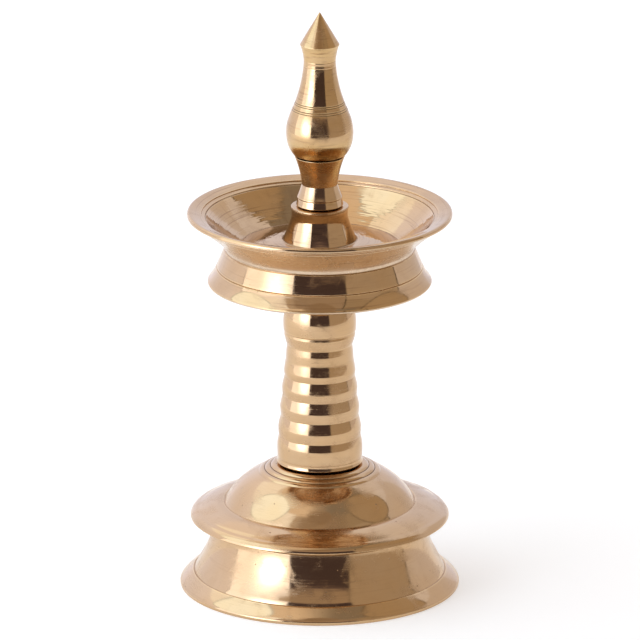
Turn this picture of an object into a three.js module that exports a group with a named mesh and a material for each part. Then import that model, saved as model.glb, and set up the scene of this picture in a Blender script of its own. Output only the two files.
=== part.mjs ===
// A samai: a turned brass oil lamp that unscrews into sections to be cleaned.
// Millimetres, +Z up, origin at the centre of the face that it stands on.
import * as THREE from "three";

// Threads. A double-ended stud holds each pair of sections together.
const turnsToFree = 4; // turns that bring a section off its stud
const stemThreadPitch = 2.0;
const finialThreadPitch = 1.5;
const stemStudRadius = 5.0;
const finialStudRadius = 3.0;
const studChamfer = 0.7;
const threadClearance = 0.15; // between a stud and the wall of its bore
const boreEndClearance = 0.8; // between a stud's end and the bottom of its bore
const seatGap = 0.25; // the dark line where one section bears on the next

// Base: a hollow bell foot, a flange and a dome, in one casting
const footRadius = 47.9;
const footEdgeRound = 0.6;
const footEdgeHeight = 1.1;
const footRingWidth = 4.5;
const footRingHeight = 5.3;
const footRingBulge = 0.12;
const footBearingWidth = 3.3; // the flat ring that touches the table
const skirtFootRadius = 42.8;
const skirtHeight = 15.6; // groove to the cove under the flange
const waistRadius = 37.0; // at that cove
const skirtFlare = 0.3; // how far outside the waist the skirt's bend turns
const skirtTurnShare = 0.6; // of the skirt's height, where that bend lies
const underFlangeCove = 2.4;
const flangeRadius = 44.3;
const flangeUnderRise = 0.6;
const flangeEdgeThickness = 1.3;
const flangeRollWidth = 2.8; // where the sloping top rolls over into the edge
const flangeRollRise = 1.45;
const flangeTopBulge = 0.42;
const flangeTopRise = 4.3; // edge to dome groove
const domeFootRadius = 32.6;
const domeHeight = 10.8; // dome groove to the rings
const domeBulge = 1.3;
const domeRingCount = 3;
const domeRingWidth = 2.0;
const domeRingRise = 0.98;
const domeRingBulge = 0.3;
const seatStepRadius = 14.9;
const grooveDepth = 0.4;
const baseWall = 2.6;
const domeWall = 2.9;
const baseBossRadius = 9.5;
const baseBossBelowStud = 2.0; // metal below the end of the stud

// Stem: six hand-turned ribs, a barrel, and a neck hidden inside the bowl's skirt
const stemSeatRadius = 12.6;
const stemFootRadius = 14.75;
const stemFootChamfer = 1.1;
const stemCollarHeight = 1.55;
const ribHeights = [7.3, 7.2, 7.2, 6.9, 5.9, 5.4]; // no two alike, bottom to top
const ribTopRadius = 11.15;
const ribTaperPower = 1.4; // the taper quickens upwards
const ribDepths = [0.45, 0.6, 0.55, 0.5, 0.42, 0.15]; // from crest to groove, beside the taper
const ribCrests = [0.62, 0.45, 0.44, 0.41, 0.33, 0.55]; // each crest's share of its rib's height
const ribRoundness = 0.12; // of a rib's depth
const barrelRadius = 12.5;
const barrelBulge = 0.4;
const barrelFootRadius = 11.2;
const barrelHeight = 15.5;
const barrelCrest = 8.6;
const stemNeckRadius = 8.7;
const stemNeckHeight = 11.4;
const stemHeadRadius = 11.5;
const stemHeadHeight = 4.2;
const stemNeckShoulder = 1.0; // the step in from the barrel, and the rounding at the neck's ends

// Bowl: a shallow dish on a hollow skirt, with a boss that carries the finial
const bowlSkirtDrop = 9.7; // the skirt hangs this far below the seat on the stem
const bowlSkirtRadius = 38.25;
const bowlSkirtEdge = 0.8;
const bowlSkirtWall = 2.7;
const bowlRingHeight = 5.6;
const bowlRingTopRadius = 35.3;
const bowlRingHollow = 0.2;
const bowlWaistRadius = 32.5;
const bowlWaistHeight = 6.8; // groove to crease
const bowlFlareHeight = 11.3; // crease to the underside of the rim
const bowlFlareTurnShare = 0.25; // of that height, where the flare bends outwards
const bowlPlateEdge = 25.5; // where the ceiling of the skirt's hollow turns down
const rimRadius = 45.25;
const rimThickness = 1.6;
const rimRound = 0.75;
const rimUndercut = 0.9; // how far the flare stops short of the rim's edge
const lipWidth = 4.9;
const lipFall = 1.0;
const ledgeWidth = 1.2;
const ledgeFall = 0.8;
const dishFloorRadius = 27.3;
const dishFloorThickness = 3.4; // at the foot of the dish wall
const dishWallSag = 0.4;
const floorMoundRise = 2.5; // the floor climbs to the boss, so oil runs out to the wicks
const bossFootRadius = 12.5;
const bossFootFlare = 6.9; // height of the flare at the foot of the boss
const bossWaistRadius = 9.6;
const bossWaistDrop = 3.2; // below the top of the boss
const bossTopRadius = 9.9;
const bossLipRound = 0.5;
const oilWall = 2.0; // metal between the two blind bores, so that no oil leaks

// Finial neck: a foot ring, a bell and a spool
const neckFootRadius = 8.05;
const neckFootRound = 0.35;
const neckFootTopRadius = 7.5;
const neckFootHeight = 2.6;
const neckGrooveHeight = 0.3;
const neckGrooveDepth = 0.2;
const neckBellRadius = 7.75;
const neckBellHeight = 4.6;
const neckBellTopRadius = 6.1;
const neckBellHollow = 0.08;
const spoolRadius = 6.15;
const spoolFlare = 0.45; // how far outside the waist the spool's bend turns
const spoolTurnShare = 0.52; // of the spool's height, where that bend lies
const spoolTopRadius = 8.6;
const neckBoreWall = 3.8; // metal between the two blind bores

// Finial bud: a bulb that is drawn up into a neck under a pointed cap
const budSeatRadius = 7.8;
const budFootRadius = 8.85;
const budFootRise = 0.35;
const budRadius = 11.5;
const budBellyHeight = 8.4; // seat to widest
const budTurnShare = 0.4; // of each stretch of the bulb, where its curve bends
const budShoulderRadius = 8.95;
const budShoulderHeight = 9.2; // widest to where the curve turns
const budThroatRadius = 5.5;
const budThroatHeight = 15.2;
const budThroatFlare = 0.5; // how far outside the throat its bend turns
const budCapRadius = 6.75;
const budCapUnderHeight = 6.4;
const budCapHeight = 11.2;
const budTipRadius = 0.25;

// Facets round each turned piece
const wideFacets = 40;
const stemFacets = 28;
const finialFacets = 28;
const studFacets = 20;

const stemEngagement = turnsToFree * stemThreadPitch;
const finialEngagement = turnsToFree * finialThreadPitch;
const stemBoreRadius = stemStudRadius + threadClearance;
const finialBoreRadius = finialStudRadius + threadClearance;
const stemBoreDepth = stemEngagement + boreEndClearance;
const finialBoreDepth = finialEngagement + boreEndClearance;

// Half of a turned section, drawn as radius and height, with the metal on its left going up.
class Outline {
  constructor(radius, height) {
    this.points = [new THREE.Vector2(radius, height)];
  }
  get last() {
    return this.points[this.points.length - 1];
  }
  line(radius, height) {
    this.points.push(new THREE.Vector2(radius, height));
    return this;
  }
  // A curve that leaves towards the corner and arrives from it
  curve(cornerRadius, cornerHeight, radius, height, steps = 4) {
    const corner = new THREE.Vector2(cornerRadius, cornerHeight);
    const end = new THREE.Vector2(radius, height);
    const bend = new THREE.QuadraticBezierCurve(this.last.clone(), corner, end);
    this.points.push(...bend.getPoints(steps).slice(1));
    return this;
  }
  // An arc whose middle stands proud of its chord by the bulge, or is hollow where that is negative
  arc(radius, height, bulge, steps = 4) {
    const start = this.last.clone();
    const chord = new THREE.Vector2(radius, height).sub(start);
    const half = chord.length() / 2;
    const outward = new THREE.Vector2(chord.y, -chord.x).normalize();
    const arcRadius = (half * half + bulge * bulge) / (2 * bulge);
    const centre = start.clone().addScaledVector(chord, 0.5).addScaledVector(outward, bulge - arcRadius);
    const spoke = start.clone().sub(centre);
    const sweep = 4 * Math.atan(bulge / half);
    for (let step = 1; step <= steps; step++) {
      const turned = spoke.clone().rotateAround(new THREE.Vector2(), (sweep * step) / steps);
      this.points.push(turned.add(centre));
    }
    return this;
  }
}

function brass(colour, roughness) {
  return new THREE.MeshStandardMaterial({ color: colour, metalness: 1, roughness });
}

// Turns an outline about the vertical axis.
function turnedPiece(name, outline, facets, material, height) {
  const geometry = new THREE.LatheGeometry(outline.points, facets);
  geometry.rotateX(Math.PI / 2);
  const piece = new THREE.Mesh(geometry, material);
  piece.name = name;
  piece.position.z = height;
  return piece;
}

// A stud, drawn about the middle of its length
function studOutline(radius, engagement) {
  const end = engagement + seatGap / 2;
  return new Outline(0, -end)
    .line(radius - studChamfer, -end)
    .line(radius, studChamfer - end)
    .line(radius, end - studChamfer)
    .line(radius - studChamfer, end)
    .line(0, end);
}

const coveHeight = footRingHeight + grooveDepth + skirtHeight;
const flangeUnderHeight = coveHeight + underFlangeCove;
const flangeEdgeHeight = flangeUnderHeight + flangeUnderRise;
const flangeTopHeight = flangeEdgeHeight + flangeEdgeThickness;
const domeFootHeight = flangeTopHeight + flangeTopRise - grooveDepth;
const domeRingsHeight = domeFootHeight + domeHeight;
const baseHeight = domeRingsHeight + domeRingCount * domeRingRise;

function baseOutline() {
  const footTopRadius = footRadius - footRingWidth;
  const footInnerRadius = footRadius - footBearingWidth;
  const skirtTurnHeight = coveHeight - skirtHeight * (1 - skirtTurnShare);
  const rollHeight = flangeTopHeight + flangeRollRise;
  const ringsRadius = seatStepRadius + domeRingCount * domeRingWidth;
  const bossEnd = baseHeight - stemEngagement - baseBossBelowStud;
  const hollowRadius = waistRadius - baseWall;
  const shape = new Outline(footInnerRadius, 0)
    .line(footRadius - footEdgeRound, 0)
    .curve(footRadius, 0, footRadius, footEdgeRound, 2)
    .line(footRadius, footEdgeHeight)
    .arc(footTopRadius, footRingHeight, footRingBulge, 2)
    .line(footTopRadius - grooveDepth, footRingHeight - grooveDepth / 2)
    .line(skirtFootRadius, footRingHeight + grooveDepth)
    .curve(waistRadius + skirtFlare, skirtTurnHeight, waistRadius, coveHeight, 6)
    .curve(waistRadius, flangeUnderHeight, waistRadius + underFlangeCove, flangeUnderHeight, 3)
    .line(flangeRadius - flangeUnderRise, flangeEdgeHeight)
    .curve(flangeRadius, flangeEdgeHeight, flangeRadius, flangeEdgeHeight + flangeUnderRise, 2)
    .curve(flangeRadius, flangeTopHeight, flangeRadius - flangeRollWidth, rollHeight, 3)
    .arc(domeFootRadius + grooveDepth, domeFootHeight + grooveDepth / 2, flangeTopBulge, 3)
    .line(domeFootRadius, domeFootHeight)
    .arc(ringsRadius, domeRingsHeight, domeBulge, 5);
  for (let ring = 1; ring <= domeRingCount; ring++) {
    const ringTop = domeRingsHeight + ring * domeRingRise;
    shape.arc(ringsRadius - ring * domeRingWidth, ringTop, domeRingBulge, 3);
  }
  return shape
    .line(stemBoreRadius, baseHeight)
    .line(stemBoreRadius, bossEnd)
    .line(baseBossRadius, bossEnd)
    .line(baseBossRadius, domeRingsHeight - domeWall)
    .arc(domeFootRadius - domeWall, domeFootHeight - grooveDepth, -domeBulge, 4)
    .curve(hollowRadius, domeFootHeight - domeWall, hollowRadius, coveHeight, 3)
    .curve(hollowRadius + skirtFlare, skirtTurnHeight, skirtFootRadius - baseWall, footRingHeight, 3)
    .line(footInnerRadius, 0);
}

const ribsHeight = ribHeights.reduce((sum, height) => sum + height, 0);
const stemCollarTop = stemFootChamfer + stemCollarHeight;
const barrelBottom = stemCollarTop + ribsHeight;
const barrelTop = barrelBottom + barrelHeight;
const stemHeadBottom = barrelTop + stemNeckHeight;
const stemLength = stemHeadBottom + stemHeadHeight;

// The radius of the ribs' crests at a height above the collar
function ribRadius(height) {
  const share = THREE.MathUtils.clamp(height / ribsHeight, 0, 1);
  return THREE.MathUtils.lerp(stemFootRadius, ribTopRadius, share ** ribTaperPower);
}

function stemOutline() {
  const shape = new Outline(0, stemBoreDepth)
    .line(stemBoreRadius, stemBoreDepth)
    .line(stemBoreRadius, 0)
    .line(stemSeatRadius, 0)
    .line(stemFootRadius, stemFootChamfer)
    .line(stemFootRadius - ribDepths[0] / 2, stemCollarTop);
  let bottom = 0;
  for (const [rib, height] of ribHeights.entries()) {
    const crest = bottom + height * ribCrests[rib];
    const top = bottom + height;
    const roundness = ribDepths[rib] * ribRoundness;
    shape
      .arc(ribRadius(crest), stemCollarTop + crest, roundness, 2)
      .arc(ribRadius(top) - ribDepths[rib], stemCollarTop + top, roundness, 2);
    bottom = top;
  }
  return shape
    .line(barrelFootRadius, barrelBottom)
    .arc(barrelRadius, barrelBottom + barrelCrest, barrelBulge, 4)
    .arc(barrelFootRadius, barrelTop, barrelBulge, 3)
    .line(barrelFootRadius - stemNeckShoulder, barrelTop)
    .curve(stemNeckRadius, barrelTop + stemNeckShoulder, stemNeckRadius, barrelTop + stemNeckHeight / 2, 3)
    .curve(stemNeckRadius, stemHeadBottom - stemNeckShoulder, stemHeadRadius, stemHeadBottom, 3)
    .line(stemHeadRadius, stemLength)
    .line(stemBoreRadius, stemLength)
    .line(stemBoreRadius, stemLength - stemBoreDepth)
    .line(0, stemLength - stemBoreDepth);
}

const bossTop = stemBoreDepth + oilWall + finialBoreDepth;

// The bowl's heights are taken from its seat on the stem.
function bowlOutline() {
  const skirtBottom = -bowlSkirtDrop;
  const ringTop = skirtBottom + bowlRingHeight;
  const crease = ringTop + bowlWaistHeight;
  const flareTurn = crease + bowlFlareHeight * bowlFlareTurnShare;
  const rimBottom = crease + bowlFlareHeight;
  const rimTop = rimBottom + rimThickness;
  const lipInner = rimRadius - lipWidth;
  const ledgeHeight = rimTop - lipFall;
  const bossFoot = dishFloorThickness + floorMoundRise;
  const moundMiddle = (dishFloorRadius + bossFootRadius) / 2;
  return new Outline(0, stemBoreDepth)
    .line(stemBoreRadius, stemBoreDepth)
    .line(stemBoreRadius, 0)
    .line(bowlPlateEdge, 0)
    .curve(bowlWaistRadius - bowlSkirtWall, 0, bowlRingTopRadius - bowlSkirtWall, ringTop, 3)
    .line(bowlSkirtRadius - bowlSkirtWall, skirtBottom)
    .line(bowlSkirtRadius - bowlSkirtEdge, skirtBottom)
    .curve(bowlSkirtRadius, skirtBottom, bowlSkirtRadius, skirtBottom + bowlSkirtEdge, 2)
    .arc(bowlRingTopRadius, ringTop, -bowlRingHollow, 2)
    .line(bowlRingTopRadius - grooveDepth, ringTop)
    .line(bowlRingTopRadius - grooveDepth / 2, ringTop + grooveDepth)
    .line(bowlWaistRadius + grooveDepth / 2, crease - grooveDepth)
    .line(bowlWaistRadius - grooveDepth / 2, crease)
    .line(bowlWaistRadius, crease + grooveDepth)
    .curve(bowlWaistRadius, flareTurn, rimRadius - rimUndercut, rimBottom, 5)
    .curve(rimRadius, rimBottom, rimRadius, rimBottom + rimRound, 2)
    .line(rimRadius, rimTop - rimRound)
    .curve(rimRadius, rimTop, rimRadius - rimRound, rimTop, 2)
    .line(lipInner, ledgeHeight)
    .line(lipInner, ledgeHeight - ledgeFall / 2)
    .line(lipInner - ledgeWidth, ledgeHeight - ledgeFall)
    .arc(dishFloorRadius, dishFloorThickness, -dishWallSag, 3)
    .line(dishFloorRadius - grooveDepth, dishFloorThickness)
    .curve(moundMiddle, bossFoot, bossFootRadius + grooveDepth, bossFoot - grooveDepth / 2, 3)
    .line(bossFootRadius, bossFoot)
    .curve(bossWaistRadius, bossFoot + bossFootFlare, bossWaistRadius, bossTop - bossWaistDrop, 3)
    .curve(bossWaistRadius, bossTop - bossLipRound, bossTopRadius, bossTop - bossLipRound, 2)
    .curve(bossTopRadius, bossTop, bossTopRadius - bossLipRound, bossTop, 2)
    .line(finialBoreRadius, bossTop)
    .line(finialBoreRadius, bossTop - finialBoreDepth)
    .line(0, bossTop - finialBoreDepth);
}

const neckLength = finialBoreDepth * 2 + neckBoreWall;

function neckOutline() {
  const bellBottom = neckFootHeight + neckGrooveHeight;
  const bellTop = bellBottom + neckBellHeight;
  const spoolTurn = bellTop + (neckLength - bellTop) * spoolTurnShare;
  return new Outline(0, finialBoreDepth)
    .line(finialBoreRadius, finialBoreDepth)
    .line(finialBoreRadius, 0)
    .line(neckFootRadius - neckFootRound, 0)
    .line(neckFootRadius, neckFootRound)
    .line(neckFootTopRadius, neckFootHeight)
    .line(neckFootTopRadius - neckGrooveDepth, neckFootHeight)
    .line(neckFootTopRadius - neckGrooveDepth, bellBottom)
    .line(neckBellRadius, bellBottom)
    .arc(neckBellTopRadius, bellTop, -neckBellHollow, 3)
    .line(spoolRadius, bellTop + neckGrooveDepth)
    .curve(spoolRadius + spoolFlare, spoolTurn, spoolTopRadius, neckLength, 5)
    .line(finialBoreRadius, neckLength)
    .line(finialBoreRadius, neckLength - finialBoreDepth)
    .line(0, neckLength - finialBoreDepth);
}

function budOutline() {
  const shoulder = budBellyHeight + budShoulderHeight;
  const throat = shoulder + budThroatHeight;
  const capBottom = throat + budCapUnderHeight;
  const tip = capBottom + budCapHeight;
  const bellyTurn = budBellyHeight * budTurnShare;
  const shoulderTurn = budBellyHeight + budShoulderHeight * budTurnShare;
  const throatTurn = shoulder + budThroatHeight / 2;
  return new Outline(0, finialBoreDepth)
    .line(finialBoreRadius, finialBoreDepth)
    .line(finialBoreRadius, 0)
    .line(budSeatRadius, 0)
    .line(budFootRadius, budFootRise)
    .curve(budRadius, bellyTurn, budRadius, budBellyHeight, 4)
    .curve(budRadius, shoulderTurn, budShoulderRadius, shoulder, 4)
    .curve(budThroatRadius + budThroatFlare, throatTurn, budThroatRadius, throat, 5)
    .curve(budThroatRadius, throat + budCapUnderHeight / 2, budCapRadius, capBottom, 4)
    .line(budTipRadius, tip - budTipRadius)
    .line(0, tip);
}

// Each section stands on the one below it, and each stud is half in one and half in the other.
const stemSeat = baseHeight + seatGap;
const bowlSeat = stemSeat + stemLength + seatGap;
const neckSeat = bowlSeat + bossTop + seatGap;
const budSeat = neckSeat + neckLength + seatGap;

const polished = brass(0xd9b27a, 0.22);
const handled = brass(0xc39a60, 0.3);
const threaded = brass(0xb98f4e, 0.4);

const samai = new THREE.Group();
samai.name = "samai";

function addSection(name, outline, facets, material, height) {
  samai.add(turnedPiece(name, outline, facets, material.clone(), height));
}

function addStud(name, radius, engagement, seat) {
  addSection(name, studOutline(radius, engagement), studFacets, threaded, seat - seatGap / 2);
}

addSection("base", baseOutline(), wideFacets, polished, 0);
addStud("base_stud", stemStudRadius, stemEngagement, stemSeat);
addSection("stem", stemOutline(), stemFacets, polished, stemSeat);
addStud("bowl_stud", stemStudRadius, stemEngagement, bowlSeat);
addSection("oil_bowl", bowlOutline(), wideFacets, polished, bowlSeat);
addStud("neck_stud", finialStudRadius, finialEngagement, neckSeat);
addSection("finial_neck", neckOutline(), finialFacets, handled, neckSeat);
addStud("bud_stud", finialStudRadius, finialEngagement, budSeat);
addSection("finial_bud", budOutline(), finialFacets, polished, budSeat);

export default samai;
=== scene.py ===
import math
import bpy
import numpy as np
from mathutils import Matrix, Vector


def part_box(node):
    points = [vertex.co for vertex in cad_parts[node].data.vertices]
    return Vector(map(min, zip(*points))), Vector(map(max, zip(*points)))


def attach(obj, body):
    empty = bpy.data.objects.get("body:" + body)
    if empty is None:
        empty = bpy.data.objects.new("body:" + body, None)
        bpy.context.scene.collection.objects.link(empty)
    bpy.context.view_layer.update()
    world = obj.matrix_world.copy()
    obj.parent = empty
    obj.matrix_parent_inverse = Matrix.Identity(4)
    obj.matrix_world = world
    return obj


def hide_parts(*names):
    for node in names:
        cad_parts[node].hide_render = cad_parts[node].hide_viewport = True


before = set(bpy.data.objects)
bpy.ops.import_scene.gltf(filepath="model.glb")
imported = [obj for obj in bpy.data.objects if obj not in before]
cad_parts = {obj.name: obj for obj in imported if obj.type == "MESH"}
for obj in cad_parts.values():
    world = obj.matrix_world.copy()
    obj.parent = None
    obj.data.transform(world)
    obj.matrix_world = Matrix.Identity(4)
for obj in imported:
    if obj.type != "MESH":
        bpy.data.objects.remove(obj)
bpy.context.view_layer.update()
print("samai: frame loaded")

# outlines
# Outlines are in millimetres: radius from the axis, and height.
# They run with the metal on their left, like the cut of a lathe tool.
# A point's third value is how much painted shade and old polish a hollow corner there gets.


def lineTo(path, radius, height, steps=1, shadeAndDirt=1.0):
    r0, z0, _ = path[-1]
    for step in range(1, steps + 1):
        t = step / steps
        path.append((r0 + (radius - r0) * t, z0 + (height - z0) * t, shadeAndDirt))


def bendTo(path, cornerRadius, cornerHeight, radius, height, steps=14, shadeAndDirt=1.0):
    r0, z0, _ = path[-1]
    for step in range(1, steps + 1):
        t = step / steps
        a, b, c = (1 - t) ** 2, 2 * t * (1 - t), t * t
        path.append((a * r0 + b * cornerRadius + c * radius, a * z0 + b * cornerHeight + c * height, shadeAndDirt))


def arcTo(path, radius, height, bulge, steps=10, shadeAndDirt=1.0):
    # The middle of the arc stands proud of the chord by the bulge.
    r0, z0, _ = path[-1]
    dr, dz = radius - r0, height - z0
    half = math.hypot(dr, dz) / 2
    outR, outZ = dz / (2 * half), -dr / (2 * half)
    swing = (half * half + bulge * bulge) / (2 * bulge)
    centreR = (r0 + radius) / 2 + outR * (bulge - swing)
    centreZ = (z0 + height) / 2 + outZ * (bulge - swing)
    sweep = 4 * math.atan(bulge / half)
    for step in range(1, steps + 1):
        turn = sweep * step / steps
        a, b = r0 - centreR, z0 - centreZ
        path.append((
            centreR + a * math.cos(turn) - b * math.sin(turn),
            centreZ + a * math.sin(turn) + b * math.cos(turn),
            shadeAndDirt,
        ))


# The outline's own points within this many widths of a cut make way for it.
cutReach = 0.6
noLength = 1e-12


def engrave(path, radius, height, line):
    # Cuts a fine V into the outline, at its nearest point to this radius and height.
    # A line's skew moves the bottom of the V along the path, from -0.5 to 0.5 of its width.
    width, depth, skew = line["width"], line["depth"], line.get("skew", 0.0)
    spot = Vector((radius, height))
    best = None
    for i in range(len(path) - 1):
        a, b = Vector(path[i][:2]), Vector(path[i + 1][:2])
        run = b - a
        t = max(0.0, min(1.0, (spot - a).dot(run) / max(run.length_squared, noLength)))
        gap = (a + run * t - spot).length
        if best is None or gap < best[0]:
            best = (gap, i, a + run * t, run.normalized())
    _, i, point, along = best
    inward = Vector((-along.y, along.x))
    first, last = i, i + 1
    while first > 0 and (Vector(path[first][:2]) - point).length < width * cutReach:
        first -= 1
    while last < len(path) - 1 and (Vector(path[last][:2]) - point).length < width * cutReach:
        last += 1
    cut = [point - along * width / 2, point + along * width * skew + inward * depth, point + along * width / 2]
    path[first + 1:last] = [(p.x, p.y, line.get("shadeAndDirt", 1.0)) for p in cut]


# A corner turns by at least this many degrees, and is fully marked from the full ones. Its round takes no more
# than a share of the runs beside it, and beside it the marks fade out, as pairs of millimetres and what is left.
corners = dict(
    least=20, full=55, widest=2.4, runShare=0.38, roundAt=(0, 0.25, 0.5, 0.75, 1),
    besideRunShare=0.46, beside=((0.6, 0), (0.18, 0.45)))


def softenCorners(path, closed, radius):
    # Rounds every sharp corner, and notes how hollow (for painted shade and grime) or how proud (edge) each place
    # is.
    c = corners
    fine = []
    count = len(path)
    for i in range(count):
        here = Vector(path[i][:2])
        before, after = here - Vector(path[i - 1][:2]), Vector(path[(i + 1) % count][:2]) - here
        lengthIn, lengthOut = before.length, after.length
        before.normalize()
        after.normalize()
        turn = math.atan2(before.x * after.y - before.y * after.x, before.dot(after))
        openEnd = not closed and i in (0, count - 1)
        if openEnd or abs(turn) < math.radians(c["least"]):
            fine.append((here.x, here.y, 0, 0))
            continue
        reach = min(
            radius * math.tan(min(abs(turn), c["widest"]) / 2),
            c["runShare"] * min(lengthIn, lengthOut))
        amount = min(1, abs(turn) / math.radians(c["full"]))
        hollow, proud = (0, amount) if turn > 0 else (amount * path[i][2], 0)
        for gap, keep in c["beside"]:
            if reach + gap < c["besideRunShare"] * lengthIn:
                p = here - before * (reach + gap)
                fine.append((p.x, p.y, hollow * keep, proud * keep))
        start, end = here - before * reach, here + after * reach
        for t in c["roundAt"]:
            p = start * (1 - t) ** 2 + here * 2 * t * (1 - t) + end * t * t
            fine.append((p.x, p.y, hollow, proud))
        for gap, keep in reversed(c["beside"]):
            if reach + gap < c["besideRunShare"] * lengthOut:
                p = here + after * (reach + gap)
                fine.append((p.x, p.y, hollow * keep, proud * keep))
    return fine


# Points within this radius are on the axis.
onAxis = 1e-6


def turnPiece(node, path, facets, finish, closed=False, corner=0.22, place=0, shape=None):
    # Turns an outline about the lamp's axis and puts it in its CAD node's place.
    fine = softenCorners(path, closed, corner)
    spots, marks, starts = [], [], []
    for r, z, shadeAndGrime, edge in fine:
        starts.append(len(spots))
        for k in range(facets if r > onAxis else 1):
            angle = 2 * math.pi * k / facets
            rr, zz = shape(r, z, angle) if shape else (r, z)
            spots.append((rr * math.cos(angle) / 1000, rr * math.sin(angle) / 1000, (zz + place) / 1000))
            marks.append((shadeAndGrime, edge))
    faces = []
    rows = len(fine)
    for i in range(rows if closed else rows - 1):
        j = (i + 1) % rows
        lowPole, highPole = fine[i][0] <= onAxis, fine[j][0] <= onAxis
        for k in range(facets):
            m = (k + 1) % facets
            if lowPole:
                faces.append((starts[i], starts[j] + m, starts[j] + k))
            elif highPole:
                faces.append((starts[i] + k, starts[i] + m, starts[j]))
            else:
                faces.append((starts[i] + k, starts[i] + m, starts[j] + m, starts[j] + k))
    mesh = bpy.data.meshes.new(node + "Turned")
    mesh.from_pydata(spots, [], faces)
    mesh.shade_smooth()
    for column, name in enumerate(("shadeAndGrime", "edge")):
        layer = mesh.attributes.new(name, "FLOAT", "POINT")
        layer.data.foreach_set("value", [mark[column] for mark in marks])
    mesh.materials.append(finish)
    piece = bpy.data.objects.new(node + "Turned", mesh)
    bpy.context.collection.objects.link(piece)
    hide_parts(node)
    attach(piece, node)


# shader groups

def addNode(tree, kind, inputs=None, **settings):
    made = tree.nodes.new(kind)
    for key, value in settings.items():
        setattr(made, key, value)
    for key, value in (inputs or {}).items():
        if isinstance(value, bpy.types.NodeSocket):
            tree.links.new(value, made.inputs[key])
        else:
            made.inputs[key].default_value = value
    return made


def maths(tree, operation, a, b=0.0, clamp=False):
    return addNode(tree, "ShaderNodeMath", {0: a, 1: b}, operation=operation, use_clamp=clamp).outputs[0]


def vectorMaths(tree, operation, a, inputs=None):
    made = addNode(tree, "ShaderNodeVectorMath", {0: a, **(inputs or {})}, operation=operation)
    return made.outputs["Value" if operation == "LENGTH" else "Vector"]


def ramp(tree, value, low, high, toLow=0.0, toHigh=1.0):
    return addNode(
        tree, "ShaderNodeMapRange",
        {"Value": value, "From Min": low, "From Max": high, "To Min": toLow, "To Max": toHigh},
        interpolation_type="SMOOTHSTEP").outputs[0]


def noise(tree, inputs, **settings):
    return addNode(tree, "ShaderNodeTexNoise", inputs, **settings).outputs[0]


def blendColours(tree, share, a, b):
    return addNode(tree, "ShaderNodeMix", {0: share, 6: a, 7: b}, data_type="RGBA").outputs[2]


def openGroup(name, *inputs):
    group = bpy.data.node_groups.new(name, "ShaderNodeTree")
    for label in inputs:
        group.interface.new_socket(name=label, in_out="INPUT", socket_type="NodeSocketFloat")
    return group, group.nodes.new("NodeGroupInput").outputs


def closeGroup(tree, results):
    for label in results:
        tree.interface.new_socket(name=label, in_out="OUTPUT", socket_type="NodeSocketFloat")
    out = tree.nodes.new("NodeGroupOutput")
    for label, socket in results.items():
        tree.links.new(socket, out.inputs[label])
    return tree


def millimetres(tree):
    # The piece's own coordinates in millimetres, whole and in parts, and the part and distance across the axis
    place = addNode(tree, "ShaderNodeTexCoord").outputs["Object"]
    scaled = vectorMaths(tree, "MULTIPLY", place, {1: (1000, 1000, 1000)})
    parts = addNode(tree, "ShaderNodeSeparateXYZ", {0: scaled}).outputs
    across = addNode(tree, "ShaderNodeCombineXYZ", {0: parts[0], 1: parts[1]}).outputs[0]
    return scaled, parts, across, vectorMaths(tree, "LENGTH", across)


# Scales are per millimetre, or for the streaks per radian, and the pairs named shown say where an effect starts
# and is full.
grain = dict(
    linesShown=(0.55, 0.7), pitEdge=(0.0, 0.6), pitLeast=0.4, pitClusters=0.07, pitClustersShown=(0.4, 0.7),
    patchesShown=(0.42, 0.68), wipesAcross=2.2, wipesAlong=0.08, wipesShown=(0.5, 0.75), wipesShare=0.5,
    shadeAndDirtBreaks=0.35, shadeAndDirtShown=(0.25, 0.9), edgeBreaks=0.5, edgeBreaksShown=(0.25, 0.6), edgeLeast=0.5,
    streaks=14, streaksShown=(0.45, 0.75), clouds=0.09, cloudsShown=(0.4, 0.65), stainStart=2.0, stainEnd=4.0,
    downShown=(-0.02, -0.2), upBand=0.15)


def makeTurningLines():
    # Rings that run round the lamp: fine ones from the tool and the polishing cloth, broad ones from its chatter
    tree, given = openGroup("turningLines", "Spacing", "Depth", "Breaks")
    _, parts, across, radius = millimetres(tree)
    around = vectorMaths(tree, "SCALE", vectorMaths(tree, "NORMALIZE", across), {"Scale": given["Breaks"]})
    outward, upward = [maths(tree, "DIVIDE", value, given["Spacing"]) for value in (radius, parts[2])]
    outward = addNode(tree, "ShaderNodeCombineXYZ", {2: outward}).outputs[0]
    lines = noise(tree, {
        "Vector": vectorMaths(tree, "ADD", around, {1: outward}), "W": upward,
        "Scale": 1.0, "Detail": 2.0, "Roughness": 0.6}, noise_dimensions="4D")
    return closeGroup(tree, {
        "Height": maths(tree, "MULTIPLY", lines, given["Depth"]), "Mask": ramp(tree, lines, *grain["linesShown"])})


def makeSlowWaves():
    # The unevenness of cast metal that was dressed by hand
    tree, given = openGroup("slowWaves", "Size", "Depth")
    spot, *_ = millimetres(tree)
    broad = noise(tree, {"Vector": spot, "Scale": maths(tree, "DIVIDE", 1.0, given["Size"]), "Detail": 2.0})
    return closeGroup(tree, {"Height": maths(tree, "MULTIPLY", broad, given["Depth"]), "Mask": broad})


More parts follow.
